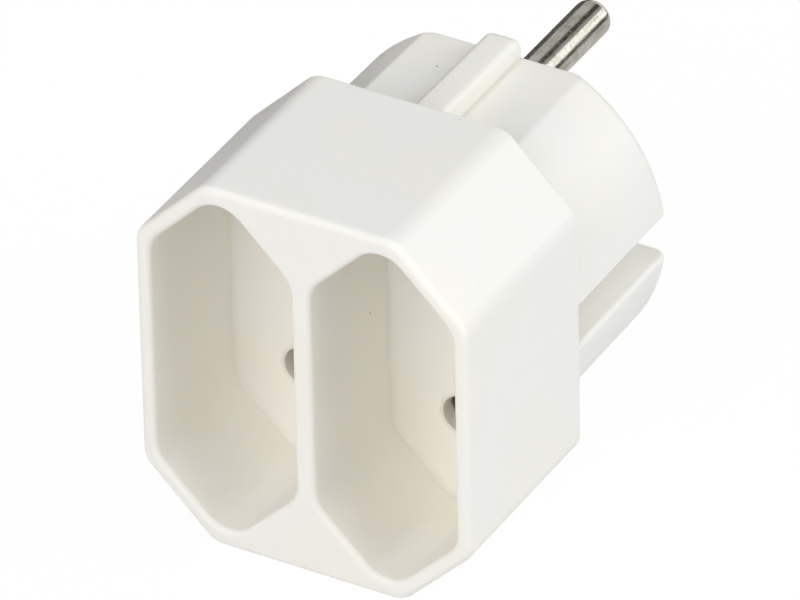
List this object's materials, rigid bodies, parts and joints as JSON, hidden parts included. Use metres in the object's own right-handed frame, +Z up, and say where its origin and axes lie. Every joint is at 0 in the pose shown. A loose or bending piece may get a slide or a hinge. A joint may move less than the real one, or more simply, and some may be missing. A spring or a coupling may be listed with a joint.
{
  "type": "two-way socket adapter",
  "caption": "Octagonal block with hexagonal wells for flat two-pin plugs and a round plug body with solid pins.",
  "frame": {"origin": "under the middle of the adapter, on the level of the block's lower flat face", "axes": "+X across the two wells, +Y from the socket face towards the plug pins, +Z up along the wells"},
  "size_m": [0.0362, 0.0588, 0.0415],
  "materials": {
    "socket_moulding": "white moulded plastic, satin to glossy",
    "plug_moulding": "white moulded plastic, satin to glossy",
    "nickel_plate": "nickel-plated solid brass, lightly worn",
    "contact_brass": "plain stamped brass",
    "spring_bronze": "plain rolled bronze",
    "rivet_brass": "plain brass",
    "zinc_plate": "zinc-plated steel"
  },
  "bodies": {
    "root": {"socket_housing": "socket_moulding", "plug_housing": "plug_moulding", "closing_screw": "zinc_plate", "pin_upper": "nickel_plate", "contact_bar_upper": "contact_brass", "spring_contact_upper_left": "spring_bronze", "contact_rivet_upper_left": "rivet_brass", "spring_contact_upper_right": "spring_bronze", "contact_rivet_upper_right": "rivet_brass", "pin_lower": "nickel_plate", "contact_bar_lower": "contact_brass", "spring_contact_lower_left": "spring_bronze", "contact_rivet_lower_left": "rivet_brass", "spring_contact_lower_right": "spring_bronze", "contact_rivet_lower_right": "rivet_brass"}
  },
  "joints": []
}
